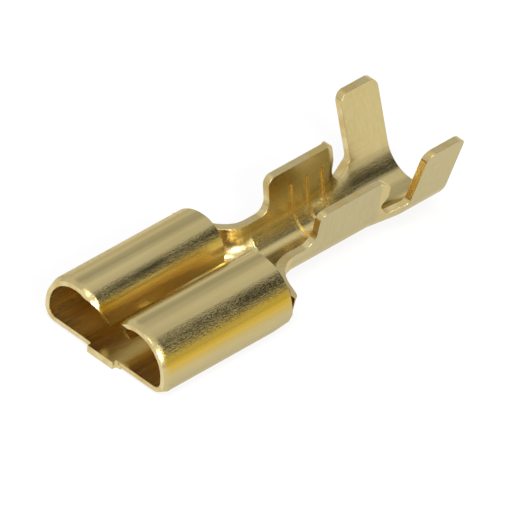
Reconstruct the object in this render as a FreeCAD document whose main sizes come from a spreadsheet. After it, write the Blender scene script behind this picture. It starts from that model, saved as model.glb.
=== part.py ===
import FreeCAD, Part
import Sketcher
import math
import os

V = FreeCAD.Vector
doc = FreeCAD.newDocument("spade_terminal")
sheet = doc.addObject("Spreadsheet::Sheet", "sizes")

# The driving sizes, in millimetres.  X runs from the mating end to the wire
# end, Z is up and the underside of the floor lies at Z = 0.  A run is the
# length from one section to the next.
DRIVING = [
    ("stock", 0.36),
    ("lip_half_gap", 0.46),
    ("curl_inner", 1.0),
    ("roll_flat", 0.05),
    ("side_inner", 1.57),
    ("side_flat", 0.19),
    ("floor_inner", 0.4),
    ("lip_over_floor", 0.75),
    ("bevel_depth", 0.13),
    ("bevel_length", 0.35),
    ("roll_run", 6.2),
    ("tuck_run", 0.9),
    ("tuck_in", 0.32),
    ("lip_cut_length", 0.75),
    ("lip_cut_drop", 1.3),
    ("stub_half_width", 0.77),
    ("stub_reach", 0.24),
    ("stub_corner", 0.12),
    ("detent_from_front", 3.9),
    ("detent_crown", 0.4),
    ("detent_slope", 0.35),
    ("detent_rise", 0.24),
    ("detent_round", 0.12),
    ("detent_skin", 0.12),
    ("slit_width", 0.1),
    ("slit_floor", 1.05),
    ("ear_top", 1.7),
    ("root_foot_inset", 0.16),
    ("ear_run", 0.22),
    ("ear_foot_inset", 0.42),
    ("ear_inset", 0.02),
    ("ear_inner", 0.6),
    ("ear_wall", 0.38),
    ("turn_run", 0.22),
    ("turn_foot_inset", 0.95),
    ("turn_inset", 0.36),
    ("turn_inner", 0.66),
    ("turn_wall", 0.52),
    ("slope_run", 0.36),
    ("slope_foot_swell", 0.92),
    ("slope_swell", 1.22),
    ("slope_inner", 0.74),
    ("slope_wall", 0.62),
    ("ease_run", 0.5),
    ("ease_foot_swell", 0.42),
    ("ease_swell", 0.62),
    ("ease_inner", 0.8),
    ("ease_wall", 0.5),
    ("neck_run", 0.5),
    ("neck_foot_swell", 0.12),
    ("neck_swell", 0.34),
    ("neck_inner", 0.82),
    ("neck_wall", 0.4),
    ("neck_top", 1.6),
    ("barrel_run", 0.5),
    ("barrel_flat", 0.13),
    ("barrel_inner", 1.05),
    ("barrel_spread", 0.5),
    ("wing_setback", 1.14),
    ("wing_length", 4.0),
    ("wing_top", 3.2),
    ("wing_corner", 0.42),
    ("wing_root_fillet", 0.6),
    ("notch_belly", 0.6),
    ("notch_waist", 0.5),
    ("notch_undercut", 0.26),
    ("notch_heel", 0.12),
    ("notch_length", 1.24),
    ("notch_floor", 1.18),
    ("notch_fillet", 0.3),
    ("flare_lead", 0.5),
    ("flare_run", 1.55),
    ("grip_length", 2.2),
    ("grip_flat", 0.15),
    ("grip_inner", 1.57),
    ("grip_spread", 1.38),
    ("grip_top", 4.48),
    ("grip_corner", 0.45),
    ("grip_root", 1.48),
    ("groove_setback", 1.24),
    ("groove_pitch", 0.9),
    ("groove_width", 0.32),
    ("groove_depth", 0.1),
    ("groove_top", 2.4),
    ("trim_margin", 0.3),
]
value = {}
for row, (name, size) in enumerate(DRIVING, start=1):
    sheet.set("A%d" % row, name)
    sheet.set("B%d" % row, str(size))
    sheet.setAlias("B%d" % row, name)
    value[name] = size
doc.recompute()


class Size:
    """A number together with the expression that gives it."""

    def __init__(self, number, text):
        self.number = number
        self.text = text

    def join(self, sign, other, number):
        return Size(number, "(%s %s %s)" % (self.text, sign, other.text))

    def __add__(self, other):
        return self.join("+", other, self.number + other.number)

    def __sub__(self, other):
        return self.join("-", other, self.number - other.number)

    def __mul__(self, other):
        return self.join("*", other, self.number * other.number)

    def __truediv__(self, other):
        return self.join("/", other, self.number / other.number)


def dim(name):
    return Size(value[name], "sizes." + name)


def root(size):
    return Size(size.number ** 0.5, "sqrt(%s)" % size.text)


ZERO = Size(0.0, "0")
ONE = Size(1.0, "1")
TWO = Size(2.0, "2")
body = doc.addObject("PartDesign::Body", "terminal_half")


def origin_plane(role):
    for plane in body.Origin.OriginFeatures:
        if plane.Role == role:
            return plane
    raise ValueError(role)


def new_sketch(name, role, offset=None):
    sketch = body.newObject("Sketcher::SketchObject", name)
    sketch.AttachmentSupport = [(origin_plane(role), "")]
    sketch.MapMode = "FlatFace"
    if offset is not None:
        sketch.AttachmentOffset = FreeCAD.Placement(V(0, 0, offset.number), FreeCAD.Rotation())
        sketch.setExpression("AttachmentOffset.Base.z", offset.text)
    return sketch


def hold(sketch, kind, geo, pos, size):
    """Tie one coordinate of a point to a size, or lay the point on an axis."""
    if abs(size.number) < 1e-9:
        axis = -2 if kind == "DistanceX" else -1
        sketch.addConstraint(Sketcher.Constraint("PointOnObject", geo, pos, axis))
        return
    index = sketch.addConstraint(Sketcher.Constraint(kind, -1, 1, geo, pos, size.number))
    sketch.setExpression("Constraints[%d]" % index, size.text)


def outline(sketch, corners):
    """A closed outline through the corners, each (across, up, radius)."""
    count = len(corners)
    spots = [V(c[0].number, c[1].number, 0) for c in corners]
    radii = [0.0 if c[2] is None else c[2].number for c in corners]
    starts = []
    ends = []
    for i in range(count):
        here = spots[i]
        back = (spots[i - 1] - here).normalize()
        ahead = (spots[(i + 1) % count] - here).normalize()
        reach = 0.0
        if radii[i] > 0:
            half = back.getAngle(ahead) / 2.0
            reach = radii[i] / math.tan(half)
        ends.append(here + back * reach)
        starts.append(here + ahead * reach)
    lines = []
    for i in range(count):
        line = Part.LineSegment(starts[i], ends[(i + 1) % count])
        lines.append(sketch.addGeometry(line, False))
    for i in range(count):
        mark = sketch.addGeometry(Part.Point(spots[i]), True)
        hold(sketch, "DistanceX", mark, 1, corners[i][0])
        hold(sketch, "DistanceY", mark, 1, corners[i][1])
        before = lines[i - 1]
        after = lines[i]
        if radii[i] <= 0:
            sketch.addConstraint(Sketcher.Constraint("Coincident", before, 2, mark, 1))
            sketch.addConstraint(Sketcher.Constraint("Coincident", after, 1, mark, 1))
            continue
        sketch.addConstraint(Sketcher.Constraint("PointOnObject", mark, 1, before))
        sketch.addConstraint(Sketcher.Constraint("PointOnObject", mark, 1, after))
        here = spots[i]
        back = (ends[i] - here).normalize()
        ahead = (starts[i] - here).normalize()
        middle = (back + ahead).normalize()
        centre_reach = ((ends[i] - here).Length ** 2 + radii[i] ** 2) ** 0.5
        crown = here + middle * (centre_reach - radii[i])
        arc = Part.Arc(ends[i], crown, starts[i])
        bend = sketch.addGeometry(arc, False)
        centre = here + middle * centre_reach
        left_turn = (ends[i] - centre).cross(starts[i] - centre).z > 0
        first, last = (1, 2) if left_turn else (2, 1)
        sketch.addConstraint(Sketcher.Constraint("Tangent", before, 2, bend, first))
        sketch.addConstraint(Sketcher.Constraint("Tangent", after, 1, bend, last))
        index = sketch.addConstraint(Sketcher.Constraint("Radius", bend, radii[i]))
        sketch.setExpression("Constraints[%d]" % index, corners[i][2].text)


def add_pad(name, sketch, length):
    pad = body.newObject("PartDesign::Pad", name)
    pad.Profile = sketch
    pad.Length = length.number
    pad.setExpression("Length", length.text)
    doc.recompute()
    return pad


def add_loft(name, sketches, ruled):
    loft = body.newObject("PartDesign::AdditiveLoft", name)
    loft.Profile = sketches[0]
    loft.Sections = sketches[1:]
    loft.Ruled = ruled
    doc.recompute()
    return loft


def cut(name, sketch, length=None, centred=False):
    """A pocket that has to take material away."""
    before = body.Shape.Volume
    pocket = body.newObject("PartDesign::Pocket", name)
    pocket.Profile = sketch
    if length is None:
        pocket.Type = 1
    else:
        pocket.Type = 0
        pocket.Length = length.number
        pocket.setExpression("Length", length.text)
        pocket.Midplane = centred
    doc.recompute()
    if body.Shape.Volume >= before - 1e-6:
        pocket.Reversed = True
        doc.recompute()
    if body.Shape.Volume >= before - 1e-6:
        raise RuntimeError(name + " takes nothing away")
    return pocket


# Each bend is named by its inside radius; the outside is one stock larger.
stock = dim("stock")
gap = dim("lip_half_gap")
curl_bend = dim("curl_inner") + stock
side_bend = dim("side_inner") + stock
floor_inner = dim("floor_inner")
side = gap + curl_bend + dim("roll_flat") + side_bend
top = floor_inner + stock + dim("side_flat") + side_bend
lip_end = stock + dim("lip_over_floor")
tuck_start = dim("bevel_length") + dim("roll_run")
roll_end = tuck_start + dim("tuck_run")


def roll_corners(inset, tuck):
    """The folded receptacle section, its outside drawn in by the inset and
    the foot of its side wall drawn in by the tuck."""
    knee = floor_inner + stock + dim("side_flat") / TWO
    lean = tuck / knee
    foot = side - tuck
    return [
        (ZERO, inset, None),
        (foot + lean * inset - inset, inset, floor_inner + stock - inset),
        (side - inset, knee, None),
        (side - inset, top - inset, side_bend - inset),
        (gap + inset, top - inset, curl_bend - inset),
        (gap + inset, lip_end, None),
        (gap + stock, lip_end, None),
        (gap + stock, top - stock, dim("curl_inner")),
        (side - stock, top - stock, dim("side_inner")),
        (side - stock, knee, None),
        (foot + lean * stock - stock, stock, floor_inner),
        (ZERO, stock, None),
    ]


# The receptacle: a flat floor with both sides rolled over to a lip, and a
# coined bevel round its outer front edge.
front_face = new_sketch("front_face", "YZ_Plane")
outline(front_face, roll_corners(dim("bevel_depth"), ZERO))
bevel_end = new_sketch("bevel_end", "YZ_Plane", dim("bevel_length"))
outline(bevel_end, roll_corners(ZERO, ZERO))
doc.recompute()
add_loft("coined_front", [front_face, bevel_end], True)

roll_section = new_sketch("roll_section", "YZ_Plane", dim("bevel_length"))
outline(roll_section, roll_corners(ZERO, ZERO))
doc.recompute()
add_pad("rolled_sides", roll_section, dim("roll_run"))

# Toward the shoulder the foot of each side wall is drawn in.
tuck_open = new_sketch("tuck_open", "YZ_Plane", tuck_start)
outline(tuck_open, roll_corners(ZERO, ZERO))
tuck_finish = new_sketch("tuck_finish", "YZ_Plane", roll_end)
outline(tuck_finish, roll_corners(ZERO, dim("tuck_in")))
doc.recompute()
add_loft("tucked_corner", [tuck_open, tuck_finish], True)

# The front corner of each lip is cut away as a lead-in for the tab.
lip_corner = new_sketch("lip_corner", "XZ_Plane")
outline(lip_corner, [
    (ZERO, lip_end, None),
    (dim("lip_cut_length"), lip_end, None),
    (ZERO, lip_end + dim("lip_cut_drop"), None),
])
doc.recompute()
cut("lip_lead_in", lip_corner, gap + curl_bend)

# The stub left where the strip was cut from its neighbour.
stub = new_sketch("stub_outline", "XY_Plane")
stub.AttachmentOffset = FreeCAD.Placement(V(-value["stub_reach"], 0, 0), FreeCAD.Rotation())
stub.setExpression("AttachmentOffset.Base.x", "-sizes.stub_reach")
stub_root = dim("stub_reach") + dim("bevel_length")
stub_side = dim("stub_half_width")
stub_foot = stub_side + dim("stub_corner") + dim("stub_corner")
outline(stub, [
    (ZERO, ZERO, None),
    (stub_root, ZERO, None),
    (stub_root, stub_foot, None),
    (dim("stub_reach"), stub_foot, None),
    (dim("stub_reach"), stub_side, dim("stub_corner")),
    (ZERO, stub_side, None),
])
doc.recompute()
add_pad("cut_off_stub", stub, stock)


def channel(name, start, foot, head, inner, wall):
    """Half of a channel section, its wall running from foot to head."""
    sketch = new_sketch(name, "YZ_Plane", start)
    lean = (head - foot) / ear_top
    outline(sketch, [
        (ZERO, ZERO, None),
        (foot, ZERO, inner + stock),
        (head, ear_top, None),
        (head - wall, ear_top, None),
        (foot + lean * stock - wall, stock, inner),
        (ZERO, stock, None),
    ])
    return sketch


def splay(spread, height):
    """The lean of a barrel wall, and its slant length for each unit of height."""
    lean = spread / height
    return lean, root(ONE + lean * lean)


def barrel(name, start, foot, leaning, inner, height):
    """Half of a barrel section, its wall leaning out from the foot."""
    sketch = new_sketch(name, "YZ_Plane", start)
    lean, slant = leaning
    wall = stock * slant
    outline(sketch, [
        (ZERO, ZERO, None),
        (foot, ZERO, inner + stock),
        (foot + lean * height, height, None),
        (foot + lean * height - wall, height, None),
        (foot + lean * stock - wall, stock, inner),
        (ZERO, stock, None),
    ])
    return sketch


# The shoulder: the side walls stand on behind the rolls, turn in at the ear
# and ease into the neck, with the bend growing as the floor narrows.
ear_top = dim("ear_top")
barrel_splay = splay(dim("barrel_spread"), dim("wing_top"))
barrel_inner = dim("barrel_inner")
lean, slant = barrel_splay
barrel_foot = dim("barrel_flat") + (barrel_inner + stock) * (slant - lean)
ear_start = roll_end + dim("ear_run")
turn_start = ear_start + dim("turn_run")
slope_start = turn_start + dim("slope_run")
ease_start = slope_start + dim("ease_run")
neck_start = ease_start + dim("neck_run")
barrel_start = neck_start + dim("barrel_run")
shoulder = [
    channel("shoulder_root", roll_end, side - dim("root_foot_inset"), side, floor_inner, stock),
    channel("ear", ear_start, side - dim("ear_foot_inset"), side - dim("ear_inset"),
            dim("ear_inner"), dim("ear_wall")),
    channel("turn", turn_start, side - dim("turn_foot_inset"), side - dim("turn_inset"),
            dim("turn_inner"), dim("turn_wall")),
    channel("slope", slope_start, barrel_foot + dim("slope_foot_swell"),
            barrel_foot + dim("slope_swell"), dim("slope_inner"), dim("slope_wall")),
    channel("ease", ease_start, barrel_foot + dim("ease_foot_swell"),
            barrel_foot + dim("ease_swell"), dim("ease_inner"), dim("ease_wall")),
    channel("neck", neck_start, barrel_foot + dim("neck_foot_swell"),
            barrel_foot + dim("neck_swell"), dim("neck_inner"), dim("neck_wall")),
    barrel("barrel_root", barrel_start, barrel_foot, barrel_splay, barrel_inner, ear_top),
]
doc.recompute()
add_loft("shoulder_and_neck", shoulder, False)

# The conductor barrel, then a flare down to the wider insulation barrel.
margin = dim("trim_margin")
wing_start = barrel_start + dim("wing_setback")
wing_end = wing_start + dim("wing_length")
flare_start = wing_end - dim("flare_lead")
flare_end = flare_start + dim("flare_run")
grip_start = wing_end + dim("notch_length")
grip_end = grip_start + dim("grip_length")
barrel_height = dim("wing_top") + margin
conductor = barrel("conductor_section", barrel_start, barrel_foot, barrel_splay,
                   barrel_inner, barrel_height)
doc.recompute()
add_pad("conductor_barrel", conductor, flare_start - barrel_start)

grip_splay = splay(dim("grip_spread"), dim("grip_top"))
grip_inner = dim("grip_inner")
grip_lean, grip_slant = grip_splay
grip_foot = dim("grip_flat") + (grip_inner + stock) * (grip_slant - grip_lean)
flare = [
    barrel("flare_begin", flare_start, barrel_foot, barrel_splay, barrel_inner, barrel_height),
    barrel("flare_finish", flare_end, grip_foot, grip_splay, grip_inner, barrel_height),
]
doc.recompute()
add_loft("barrel_flare", flare, True)

grip = barrel("grip_section", flare_end, grip_foot, grip_splay, grip_inner,
              dim("grip_top") + margin)
doc.recompute()
add_pad("insulation_barrel", grip, grip_end - flare_end + margin)

# One trim gives the top edge of the ear, the neck, both pairs of wings and
# the notch between them.
trim = new_sketch("blank_outline", "XZ_Plane")
clear_top = dim("grip_top") + margin + margin
clear_end = grip_end + margin + margin
slit_end = roll_end + dim("slit_width")
notch_belly = dim("notch_floor") + dim("notch_belly")
outline(trim, [
    (roll_end, dim("slit_floor"), None),
    (slit_end, dim("slit_floor"), None),
    (slit_end, ear_top, None),
    (neck_start, dim("neck_top"), dim("wing_root_fillet")),
    (wing_start, dim("neck_top"), dim("wing_root_fillet")),
    (wing_start, dim("wing_top"), dim("wing_corner")),
    (wing_end, dim("wing_top"), dim("wing_corner")),
    (wing_end, notch_belly + dim("notch_waist"), dim("notch_fillet")),
    (wing_end - dim("notch_undercut"), notch_belly, dim("notch_fillet")),
    (wing_end + dim("notch_heel"), dim("notch_floor"), dim("notch_fillet")),
    (grip_start, dim("grip_root"), dim("notch_fillet")),
    (grip_start, dim("grip_top"), dim("grip_corner")),
    (grip_end, dim("grip_top"), dim("grip_corner")),
    (grip_end, ZERO - margin, None),
    (clear_end, ZERO - margin, None),
    (clear_end, clear_top, None),
    (roll_end, clear_top, None),
])
doc.recompute()
cut("edges_of_the_blank", trim)

# Three pressed grooves cross the inside of the conductor barrel.
groove = new_sketch("groove_section", "YZ_Plane", wing_start + dim("groove_setback"))
groove_depth = dim("groove_depth")
groove_bed = stock - groove_depth
groove_foot = barrel_foot + lean * groove_bed - groove_bed * slant
groove_head = barrel_foot + lean * dim("groove_top") - groove_bed * slant
outline(groove, [
    (ZERO, groove_bed, None),
    (groove_foot, groove_bed, barrel_inner + groove_depth),
    (groove_head, dim("groove_top"), None),
    (ZERO, dim("groove_top"), None),
])
doc.recompute()
first_groove = cut("wire_groove", groove, dim("groove_width"), True)
grooves = body.newObject("PartDesign::LinearPattern", "wire_grooves")
grooves.Originals = [first_groove]
grooves.Direction = (groove, ["N_Axis"])
grooves.Occurrences = 3
grooves.Length = 2 * value["groove_pitch"]
grooves.setExpression("Length", "2 * sizes.groove_pitch")
body.Tip = grooves
doc.recompute()


# The detent is a round dimple pressed up into the floor.
def dimple_sketch(name, corners):
    sketch = new_sketch(name, "XZ_Plane")
    sketch.AttachmentOffset = FreeCAD.Placement(V(value["detent_from_front"], 0, 0), FreeCAD.Rotation())
    sketch.setExpression("AttachmentOffset.Base.x", "sizes.detent_from_front")
    outline(sketch, corners)
    doc.recompute()
    return sketch


crown = dim("detent_crown")
rise = dim("detent_rise")
round_off = dim("detent_round")
foot_radius = crown + dim("detent_slope")
bump = dimple_sketch("detent_outside", [
    (ZERO, stock / TWO, None),
    (foot_radius, stock / TWO, None),
    (foot_radius, stock, None),
    (crown, stock + rise, round_off),
    (ZERO, stock + rise, None),
])
dome = body.newObject("PartDesign::Revolution", "detent_dome")
dome.Profile = bump
dome.ReferenceAxis = (bump, ["V_Axis"])
dome.Angle = 180
doc.recompute()
hollow = dimple_sketch("detent_inside", [
    (ZERO, ZERO, None),
    (foot_radius - dim("detent_skin"), ZERO, None),
    (crown - dim("detent_skin"), rise, None),
    (ZERO, rise, None),
])
dent = body.newObject("PartDesign::Groove", "detent_hollow")
dent.Profile = hollow
dent.ReferenceAxis = (hollow, ["V_Axis"])
dent.Angle = 180
doc.recompute()

# The two halves meet in one folded sheet.
mirrored = doc.addObject("Part::Mirroring", "other_half")
mirrored.Source = body
mirrored.Normal = V(0, 1, 0)
terminal = doc.addObject("Part::MultiFuse", "spade_terminal")
terminal.Shapes = [body, mirrored]
terminal.Refine = True
terminal.Label = "spade_terminal"

doc.recompute()
for item in doc.Objects:
    if "Invalid" in item.State or "Error" in item.State:
        raise RuntimeError("feature not built: " + item.Name)
folded = terminal.Shape
if folded.isNull() or not folded.isValid() or len(folded.Solids) != 1:
    raise RuntimeError("the folded sheet is not one sound solid")
os.makedirs("parts", exist_ok=True)
folded.exportStep("parts/spade_terminal.step")
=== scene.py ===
import math

import bmesh
import bpy
from mathutils import Matrix, Vector


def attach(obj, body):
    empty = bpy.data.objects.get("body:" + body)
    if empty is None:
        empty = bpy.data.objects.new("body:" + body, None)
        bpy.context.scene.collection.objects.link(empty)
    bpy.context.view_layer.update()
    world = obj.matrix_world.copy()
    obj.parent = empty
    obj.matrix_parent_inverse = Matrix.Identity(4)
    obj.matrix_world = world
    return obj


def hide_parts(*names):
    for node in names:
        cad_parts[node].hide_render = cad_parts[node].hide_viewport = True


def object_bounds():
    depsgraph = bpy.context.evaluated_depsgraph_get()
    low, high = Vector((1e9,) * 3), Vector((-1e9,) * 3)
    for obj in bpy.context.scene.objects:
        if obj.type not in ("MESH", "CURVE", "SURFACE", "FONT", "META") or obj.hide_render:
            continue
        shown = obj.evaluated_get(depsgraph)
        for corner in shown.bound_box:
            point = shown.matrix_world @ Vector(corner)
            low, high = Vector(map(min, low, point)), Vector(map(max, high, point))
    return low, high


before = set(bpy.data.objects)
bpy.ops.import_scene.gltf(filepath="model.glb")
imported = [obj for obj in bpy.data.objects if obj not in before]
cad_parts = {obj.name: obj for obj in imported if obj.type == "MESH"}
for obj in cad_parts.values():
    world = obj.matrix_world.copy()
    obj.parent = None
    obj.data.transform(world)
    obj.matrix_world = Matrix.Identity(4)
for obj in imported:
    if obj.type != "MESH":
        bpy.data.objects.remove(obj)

cad_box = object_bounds()

# The terminal: one strip of brass, blanked, coined along its front edge and
# folded into a receptacle with two rolled sides and two open crimp barrels.
# Fine lengthwise lines run along the sheet.
MM = 0.001


def linear(hex_colour):
    """An sRGB hex colour as linear values with full alpha."""
    channels = [int(hex_colour[i:i + 2], 16) / 255 for i in (1, 3, 5)]
    return [c / 12.92 if c <= 0.04045 else ((c + 0.055) / 1.055) ** 2.4 for c in channels] + [1.0]


def add_node(tree, kind, settings=None, links=None):
    """One node with its settings, its input values and what feeds its inputs."""
    node = tree.nodes.new(kind)
    for name, setting in (settings or {}).items():
        if isinstance(name, str) and hasattr(node, name):
            setattr(node, name, setting)
        else:
            node.inputs[name].default_value = setting
    for name, source in (links or {}).items():
        tree.links.new(source, node.inputs[name])
    return node


def noise(tree, spot, per_metre, detail, roughness):
    """A noise pattern with so many grains to the metre along X, Y and Z."""
    place = add_node(tree, "ShaderNodeMapping", {"Scale": per_metre}, {"Vector": spot})
    return add_node(tree, "ShaderNodeTexNoise",
                    {"Scale": 1.0, "Detail": detail, "Roughness": roughness},
                    {"Vector": place.outputs["Vector"]}).outputs["Fac"]


def ranged(tree, source, low, high, to_low, to_high):
    """A value stretched from one range to another, and held at its ends."""
    return add_node(tree, "ShaderNodeMapRange",
                    {"From Min": low, "From Max": high, "To Min": to_low, "To Max": to_high},
                    {"Value": source}).outputs["Result"]


def product(tree, first, second):
    """Two values multiplied."""
    return add_node(tree, "ShaderNodeMath", {"operation": "MULTIPLY"}, {0: first, 1: second}).outputs[0]


def blended(tree, share, first, second, mode="MIX"):
    """Two colours mixed; a colour is a hex code or an output."""
    mix = add_node(tree, "ShaderNodeMix", {"data_type": "RGBA", "blend_type": mode})
    for socket, colour in ((0, share), (6, first), (7, second)):
        if isinstance(colour, str):
            mix.inputs[socket].default_value = linear(colour)
        elif isinstance(colour, float):
            mix.inputs[socket].default_value = colour
        else:
            tree.links.new(colour, mix.inputs[socket])
    return mix.outputs[2]


def raised(tree, height, strength, depth_mm, under):
    """A bump of so many millimetres, laid over the one under it."""
    return add_node(tree, "ShaderNodeBump",
                    {"Strength": strength, "Distance": depth_mm * MM},
                    {"Height": height, "Normal": under}).outputs["Normal"]


def rounded_edges(tree, radius_mm):
    """Shading that carries a small radius round every sharp edge."""
    return add_node(tree, "ShaderNodeBevel",
                    {"samples": 4, "Radius": radius_mm * MM}).outputs["Normal"]


def blank_material(name):
    """A new material with an empty node tree."""
    material = bpy.data.materials.new(name)
    material.use_nodes = True
    material.node_tree.nodes.clear()
    return material, material.node_tree


# Where the rolled sides end and where the wings begin, each over a short run.
ROLL_END_MM = (7.2, 7.8)
WING_FRONT_MM = (10.6, 11.0)
# How near the sheet's other side has to be for a face to count as in a fold.
FOLD_REACH_MM = 2.4


def rolled_brass():
    """Rolled brass sheet: bright, streaked along the rolling, with a painted reflection of deeper gold
    low on the rolled sides, a paler painted reflection on faces turned down, painted light brightening
    the folds, grained where the bend stretched it."""
    material, tree = blank_material("rolled_brass_sheet")
    place = add_node(tree, "ShaderNodeTexCoord")
    spot = place.outputs["Object"]
    facing = add_node(tree, "ShaderNodeSeparateXYZ", links={"Vector": place.outputs["Normal"]})
    lift = facing.outputs["Z"]
    # How far a face looks toward either end; the long faces count as level.
    endward = add_node(tree, "ShaderNodeMath", {"operation": "ABSOLUTE"},
                       {0: facing.outputs["X"]}).outputs[0]
    level = ranged(tree, endward, 0.10, 0.30, 1.0, 0.0)
    reach = add_node(tree, "ShaderNodeSeparateXYZ", links={"Vector": spot}).outputs["X"]
    on_roll = ranged(tree, reach, ROLL_END_MM[0] * MM, ROLL_END_MM[1] * MM, 1.0, 0.0)
    on_wing = ranged(tree, reach, WING_FRONT_MM[0] * MM, WING_FRONT_MM[1] * MM, 0.0, 1.0)

    # Rolling lines, drawn at 0.1 mm because finer ones would not show.
    lines = noise(tree, spot, (160.0, 10000.0, 10000.0), 3.0, 0.6)
    # Broader streaks along the sheet, about 0.5 mm apart.
    streaks = noise(tree, spot, (70.0, 2200.0, 2200.0), 2.0, 0.5)
    # Grain of the stretched bend: dashes 0.15 mm long and 0.05 mm across.
    grain = noise(tree, spot, (6000.0, 18000.0, 18000.0), 2.0, 0.75)
    # Faint uneven patches, a few millimetres across.
    blotch = noise(tree, spot, (380.0, 380.0, 380.0), 3.0, 0.55)

    # The stretched zone faces 30 to 60 degrees from straight up.
    opened = ranged(tree, lift, 0.46, 0.62, 0.0, 1.0)
    closed = ranged(tree, lift, 0.82, 0.91, 1.0, 0.0)
    stretched = product(tree, product(tree, opened, closed), level)
    patchy = product(tree, stretched, ranged(tree, blotch, 0.38, 0.60, 0.55, 1.0))

    # Below that zone the rolled sides get a deeper gold, a painted reflection.
    rising = ranged(tree, lift, 0.08, 0.36, 0.0, 1.0)
    falling = ranged(tree, lift, 0.54, 0.74, 1.0, 0.0)
    painted_reflection_band = product(tree, product(tree, rising, falling), product(tree, level, on_roll))
    painted_low_reflection = product(tree, painted_reflection_band, ranged(tree, streaks, 0.3, 0.7, 0.75, 1.0))

    # Painted light: the folds look a warmer, brighter gold than mirror bounces between the walls
    # give them, so their tone is painted brighter and their roughness raised by how shut in they are.
    open_sky = add_node(tree, "ShaderNodeAmbientOcclusion",
                        {"samples": 6, "only_local": True,
                         "Distance": FOLD_REACH_MM * MM}).outputs["AO"]
    fold_painted_light_and_rough = ranged(tree, open_sky, 0.30, 0.80, 1.0, 0.0)
    # Faces turned down are painted a paler khaki, a painted reflection of the white card below.
    under = ranged(tree, lift, -0.10, 0.14, 1.0, 0.0)
    tone = blended(tree, blotch, "#D1BF8A", "#C8B57C")
    # Painted reflection: the deeper gold band low on the rolled sides.
    tone = blended(tree, painted_low_reflection, tone, "#D2AC2C")
    tone = blended(tree, product(tree, under, level), tone, "#BEB189")
    # Painted light: the folds turned a pale warm gold.
    tone = blended(tree, fold_painted_light_and_rough, tone, "#FBE49C")

    # Fine lines run up the wings, drawn about 0.15 mm apart.
    brushing = noise(tree, spot, (7000.0, 7000.0, 500.0), 3.0, 0.6)
    streaked = blended(tree, on_wing, ranged(tree, streaks, 0.32, 0.68, 0.88, 1.03),
                       ranged(tree, brushing, 0.32, 0.68, 0.90, 1.0))
    tone = blended(tree, 0.8, tone, streaked, "MULTIPLY")
    pits = product(tree, patchy, ranged(tree, grain, 0.36, 0.58, 0.6, 0.0))
    tone = blended(tree, pits, tone, "#7A672F")

    # The fine lines spread the reflections, and the folds spread them further.
    lined = ranged(tree, lines, 0.3, 0.7, 0.17, 0.28)
    rough = add_node(tree, "ShaderNodeMath", {"operation": "MULTIPLY_ADD", 1: 0.16},
                     {0: fold_painted_light_and_rough, 2: lined}).outputs[0]
    drawn = raised(tree, lines, 0.10, 0.012, rounded_edges(tree, 0.035))
    waves = product(tree, streaks, ranged(tree, on_wing, 0.0, 1.0, 1.0, 0.15))
    waved = raised(tree, waves, 0.12, 0.05, drawn)
    grained = raised(tree, product(tree, grain, patchy), 0.7, 0.03, waved)
    brass = add_node(tree, "ShaderNodeBsdfPrincipled",
                     {"Metallic": 1.0, "Specular Tint": linear("#F3ECD6")},
                     {"Base Color": tone, "Roughness": rough, "Normal": grained})
    add_node(tree, "ShaderNodeOutputMaterial", links={"Surface": brass.outputs["BSDF"]})
    return material


def sheared_brass():
    """Cut edge of the sheet: paler and finely scored across its thickness."""
    material, tree = blank_material("sheared_brass_edge")
    place = add_node(tree, "ShaderNodeTexCoord")
    spot = place.outputs["Object"]
    # Score marks of the punch, 0.08 mm apart.
    scores = noise(tree, spot, (12000.0, 12000.0, 900.0), 2.0, 0.6)
    mottle = noise(tree, spot, (1500.0, 1500.0, 1500.0), 2.0, 0.5)
    tone = blended(tree, ranged(tree, mottle, 0.35, 0.65, 0.0, 1.0), "#DCCB98", "#CDB373")
    rough = ranged(tree, mottle, 0.3, 0.7, 0.22, 0.36)
    scored = raised(tree, scores, 0.25, 0.02, rounded_edges(tree, 0.05))
    brass = add_node(tree, "ShaderNodeBsdfPrincipled", {"Metallic": 1.0},
                     {"Base Color": tone, "Roughness": rough, "Normal": scored})
    add_node(tree, "ShaderNodeOutputMaterial", links={"Surface": brass.outputs["BSDF"]})
    return material


def is_cut(face):
    """Whether a face was left by the cut: an end, or the top edge of a wall."""
    spot = face.center / MM
    on_detent = 2.9 < spot.x < 4.9 and abs(spot.y) < 1.0
    is_end = abs(face.normal.x) > 0.93 and not on_detent
    # Only wings stand higher than the rolls, which reach 2.88 mm.
    wing_top = spot.z > 2.95 and face.normal.z > 0.9
    # The neck and the notch have their top edges lower down, behind the rolls.
    neck_top = 7.4 < spot.x < 16.5 and spot.z > 1.1 and face.normal.z > 0.8
    return is_end or wing_top or neck_top


# Faces that meet at less than this pass smoothly into one another.
SMOOTH_ANGLE = math.radians(28)
# Cosine above which two triangles count as one flat patch, about half a degree.
SAME_FLAT = 0.99996
# Corners closer than this are one corner.
WELD_MM = 0.0002


def flat_patches(form):
    """Each triangle's flat patch: the patch number of a face and the patch areas."""
    patch_of = {}
    areas = []
    for first in form.faces:
        if first.index in patch_of:
            continue
        patch_of[first.index] = len(areas)
        area = 0.0
        waiting = [first]
        while waiting:
            face = waiting.pop()
            area += face.calc_area()
            for edge in face.edges:
                for beside in edge.link_faces:
                    in_line = beside.normal.dot(first.normal) > SAME_FLAT
                    if in_line and beside.index not in patch_of:
                        patch_of[beside.index] = len(areas)
                        waiting.append(beside)
        areas.append(area)
    return patch_of, areas


def corner_normals(form):
    """Corner directions led by the widest flat patch there, so that a flat
    stays flat right up to a bend."""
    smooth_cosine = math.cos(SMOOTH_ANGLE)
    patch_of, areas = flat_patches(form)
    normals = []
    for face in form.faces:
        for corner in face.loops:
            total = Vector((0.0, 0.0, 0.0))
            counted = set()
            for beside in corner.vert.link_faces:
                patch = patch_of[beside.index]
                passes = beside.normal.dot(face.normal) >= smooth_cosine
                if passes and patch not in counted:
                    counted.add(patch)
                    total += beside.normal * areas[patch]
            normals.append(total.normalized())
    return normals


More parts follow.
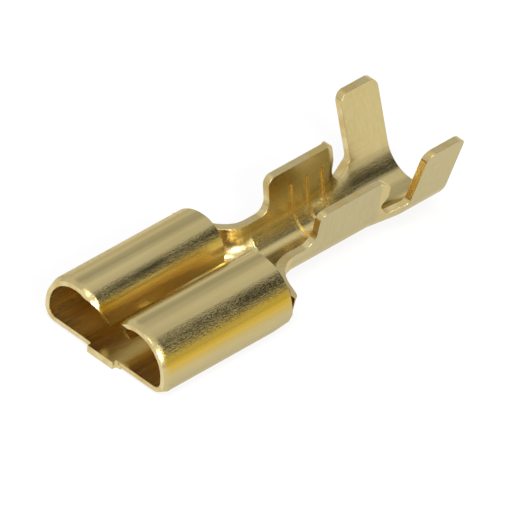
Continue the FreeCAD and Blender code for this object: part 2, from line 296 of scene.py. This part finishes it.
def folded_sheet(node, sheet, edge):
    """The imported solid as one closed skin, its cut faces told from its sheet faces."""
    skin = node.data.copy()
    skin.name = "folded_sheet"
    form = bmesh.new()
    form.from_mesh(skin)
    bmesh.ops.remove_doubles(form, verts=form.verts, dist=WELD_MM * MM)
    form.normal_update()
    normals = corner_normals(form)
    form.to_mesh(skin)
    form.free()
    skin.materials.clear()
    skin.materials.append(sheet)
    skin.materials.append(edge)
    for face in skin.polygons:
        face.use_smooth = True
        face.material_index = 1 if is_cut(face) else 0
    skin.set_sharp_from_angle(angle=SMOOTH_ANGLE)
    skin.normals_split_custom_set(normals)
    piece = bpy.data.objects.new("folded_brass_sheet", skin)
    bpy.context.scene.collection.objects.link(piece)
    return piece


terminal = folded_sheet(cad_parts["spade_terminal"], rolled_brass(), sheared_brass())
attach(terminal, "root")
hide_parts("spade_terminal")

# The tabletop: a plain white sheet of card, large enough to fill every view.
# It lies a hair under the terminal, so the two never share a plane.
TABLE_HALF = 1.5
TABLE_GAP_MM = 0.02


def white_card():
    """Matt white card that stays white in the picture and in the metal."""
    material, tree = blank_material("matt_white_card")
    paper = add_node(tree, "ShaderNodeBsdfDiffuse", {"Color": linear("#F2F2F2")})
    glow = add_node(tree, "ShaderNodeEmission", {"Color": linear("#FFFFFF"), "Strength": 1.0})
    ray = add_node(tree, "ShaderNodeLightPath")
    seen = add_node(tree, "ShaderNodeMath", {"operation": "ADD"},
                    {0: ray.outputs["Is Camera Ray"], 1: ray.outputs["Is Glossy Ray"]})
    seen_all = add_node(tree, "ShaderNodeMath", {"operation": "ADD", "use_clamp": True},
                        {0: seen.outputs[0], 1: ray.outputs["Is Transmission Ray"]})
    # One fifth stays paper, which keeps the terminal's shadow in the picture.
    share = add_node(tree, "ShaderNodeMath", {"operation": "MULTIPLY", 1: 0.8},
                     {0: seen_all.outputs[0]})
    both = add_node(tree, "ShaderNodeMixShader", {},
                    {0: share.outputs[0], 1: paper.outputs[0], 2: glow.outputs[0]})
    add_node(tree, "ShaderNodeOutputMaterial", links={"Surface": both.outputs[0]})
    return material


card = bpy.data.meshes.new("tabletop")
card_corners = [(x * TABLE_HALF, y * TABLE_HALF, 0) for x, y in ((-1, -1), (1, -1), (1, 1), (-1, 1))]
card.from_pydata(card_corners, [], [(0, 1, 2, 3)])
card.materials.append(white_card())
tabletop = bpy.data.objects.new("tabletop", card)
bpy.context.scene.collection.objects.link(tabletop)
tabletop.location.z = cad_box[0][2] - TABLE_GAP_MM * MM

# The room: an even pale studio, a little darker at eye level, with a dark
# flag high to the right and behind that draws the band down each rolled side,
# and a fainter beam behind on the left that draws the line along each top.
world = bpy.data.worlds.new("studio_room")
bpy.context.scene.world = world
world.use_nodes = True
room = world.node_tree
room.nodes.clear()
look = add_node(room, "ShaderNodeTexCoord")
way = add_node(room, "ShaderNodeSeparateXYZ", links={"Vector": look.outputs["Generated"]})
walls = add_node(room, "ShaderNodeValToRGB", links={"Fac": way.outputs["Z"]})
bands = walls.color_ramp.elements
bands[0].position = 0.0
bands[0].color = (0.50, 0.50, 0.49, 1.0)
bands[1].position = 1.0
bands[1].color = (0.80, 0.81, 0.83, 1.0)
eye_level = bands.new(0.10)
eye_level.color = (0.74, 0.74, 0.72, 1.0)
upper_wall = bands.new(0.25)
upper_wall.color = (0.92, 0.93, 0.95, 1.0)


def toward(direction):
    """How nearly the room is looked at in one direction: 1 is straight there."""
    dot = add_node(room, "ShaderNodeVectorMath", {"operation": "DOT_PRODUCT", 1: direction},
                   {0: look.outputs["Generated"]})
    return dot.outputs["Value"]


flag = ranged(room, toward((0.622, -0.502, 0.602)), 0.90, 0.965, 0.0, 1.0)
beam = ranged(room, toward((0.566, 0.602, 0.562)), 0.945, 0.99, 0.0, 0.40)
lit_walls = blended(room, flag, walls.outputs["Color"], "#26261F")
lit_walls = blended(room, beam, lit_walls, "#3A3A34")
ray = add_node(room, "ShaderNodeLightPath")
shown = blended(room, ray.outputs["Is Camera Ray"], lit_walls, "#FFFFFF")
glow = add_node(room, "ShaderNodeBackground", {"Strength": 1.0}, {"Color": shown})
add_node(room, "ShaderNodeOutputWorld", links={"Surface": glow.outputs[0]})


# The panels look at the middle of the terminal.
TERMINAL_MIDDLE_MM = Vector((9, 0, 1.5))


def softbox(name, direction, distance, width, height, power):
    """A flat white panel lamp that points at the terminal."""
    lamp = bpy.data.lights.new(name, "AREA")
    lamp.shape = "RECTANGLE"
    lamp.size = width
    lamp.size_y = height
    lamp.energy = power
    holder = bpy.data.objects.new(name, lamp)
    aim = Vector(direction).normalized()
    holder.location = TERMINAL_MIDDLE_MM * MM + aim * distance
    holder.rotation_euler = aim.to_track_quat("Z", "Y").to_euler()
    bpy.context.scene.collection.objects.link(holder)


# Key panel on the right, which whitens the coined bevels.
softbox("key_panel", (-0.22, -0.80, 0.50), 0.6, 0.30, 0.22, 2.6)
# Top panel over the front of the terminal.
softbox("top_panel", (-0.35, -0.15, 0.92), 0.7, 0.35, 0.30, 1.8)

# The camera, at the photograph's place: front right, above, slightly rolled.
# The lens follows from the picture's 23.4 pixels to the millimetre at 882 mm.
lens_px = 23.376515 * 882.24578
picture_px = 515
eye = Vector((-489.02761, -479.02200, 550.01096)) * MM
right = Vector((0.72148979, -0.69046559, 0.0520553))
up = Vector((0.40133223, 0.47825748, 0.78115442))
back = -Vector((0.56425608, 0.54270347, -0.62216398))
camera_data = bpy.data.cameras.new("camera")
camera_data.sensor_width = 36.0
camera_data.lens = lens_px / picture_px * camera_data.sensor_width
camera_data.clip_start = 0.01
camera_data.clip_end = 10.0
camera = bpy.data.objects.new("camera", camera_data)
camera.matrix_world = Matrix((
    (right.x, up.x, back.x, eye.x),
    (right.y, up.y, back.y, eye.y),
    (right.z, up.z, back.z, eye.z),
    (0, 0, 0, 1),
))
bpy.context.scene.collection.objects.link(camera)
bpy.context.scene.camera = camera
bpy.context.scene.view_settings.view_transform = "Standard"
# Light that enters the folds is followed until it comes out again.
bpy.context.scene.cycles.max_bounces = 24
bpy.context.scene.cycles.glossy_bounces = 20
